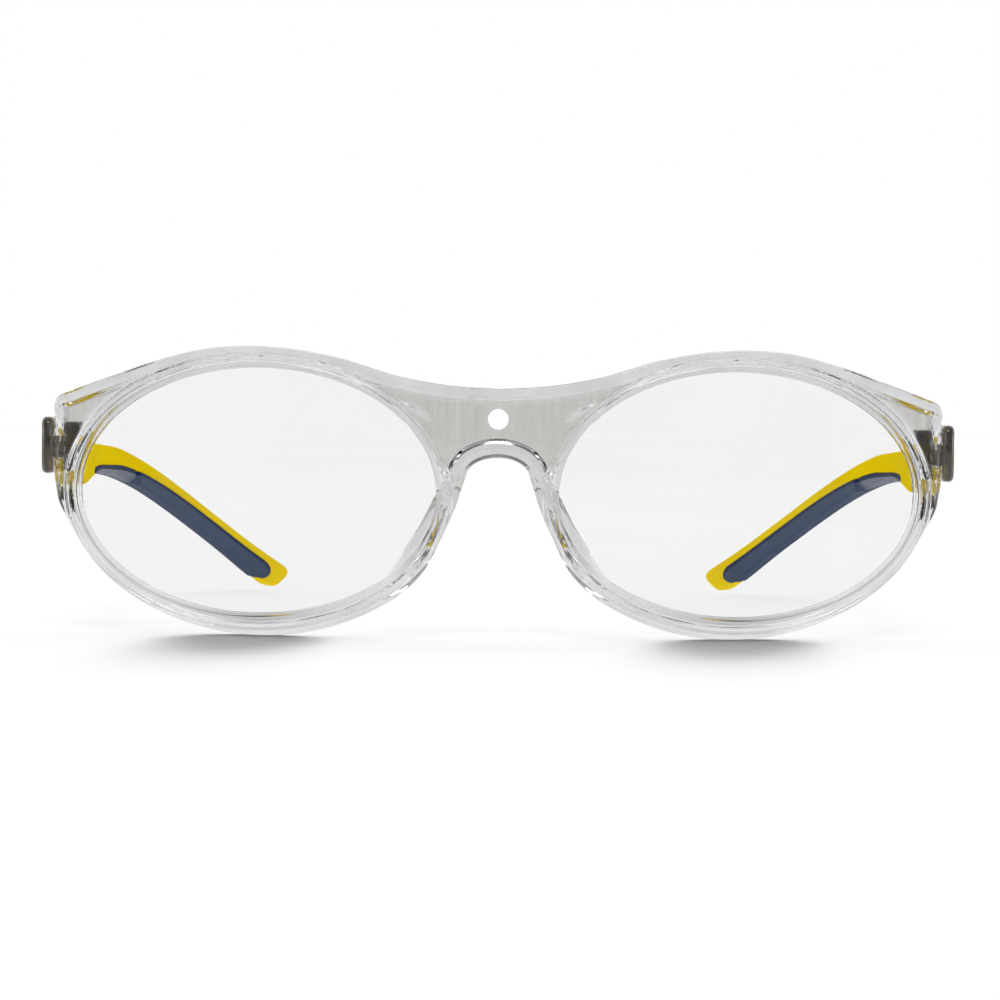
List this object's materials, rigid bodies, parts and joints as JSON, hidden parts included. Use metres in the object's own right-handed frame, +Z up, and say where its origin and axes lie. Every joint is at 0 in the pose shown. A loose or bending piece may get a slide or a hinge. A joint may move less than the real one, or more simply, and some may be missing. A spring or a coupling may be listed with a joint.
{
  "type": "safety spectacles",
  "caption": "Clear wrap-round safety spectacles with oval lenses, a moulded bridge and nose pads, smoked clip brackets and folding two-colour temple arms.",
  "frame": {"origin": "centre of the spectacles' footprint with the arms open, at the height of the surface they rest on", "axes": "+X to the wearer's left, -Y the way the wearer looks, +Z up; the arms run back along +Y"},
  "size_m": [0.1448, 0.1304, 0.0451],
  "materials": {
    "clear_frame": "clear moulded polycarbonate, glossy",
    "lens": "clear polished polycarbonate",
    "smoked_clip": "dark smoked plastic, glossy",
    "steel_pin": "turned",
    "yellow_arm": "satin moulded plastic",
    "blue_grey_pad": "matt soft overmould"
  },
  "bodies": {
    "front": {"front_frame": "clear_frame", "lens_left": "lens", "lens_right": "lens", "hinge_block_left": "smoked_clip", "hinge_block_right": "smoked_clip", "clip_cap_left": "smoked_clip", "clip_cap_right": "smoked_clip", "hinge_pin_left": "steel_pin", "hinge_pin_right": "steel_pin"},
    "temple_left": {"temple_arm_left": "yellow_arm", "temple_pad_left": "blue_grey_pad"},
    "temple_right": {"temple_arm_right": "yellow_arm", "temple_pad_right": "blue_grey_pad"}
  },
  "joints": [
    {"name": "fold_left", "type": "hinge", "parent": "front", "child": "temple_left", "pos_m": [0.0675, -0.0442, 0.029], "axis": [0, 0, 1], "range_deg": [0, 80]},
    {"name": "fold_right", "type": "hinge", "parent": "front", "child": "temple_right", "pos_m": [-0.0675, -0.0442, 0.029], "axis": [0, 0, -1], "range_deg": [0, 73]}
  ]
}
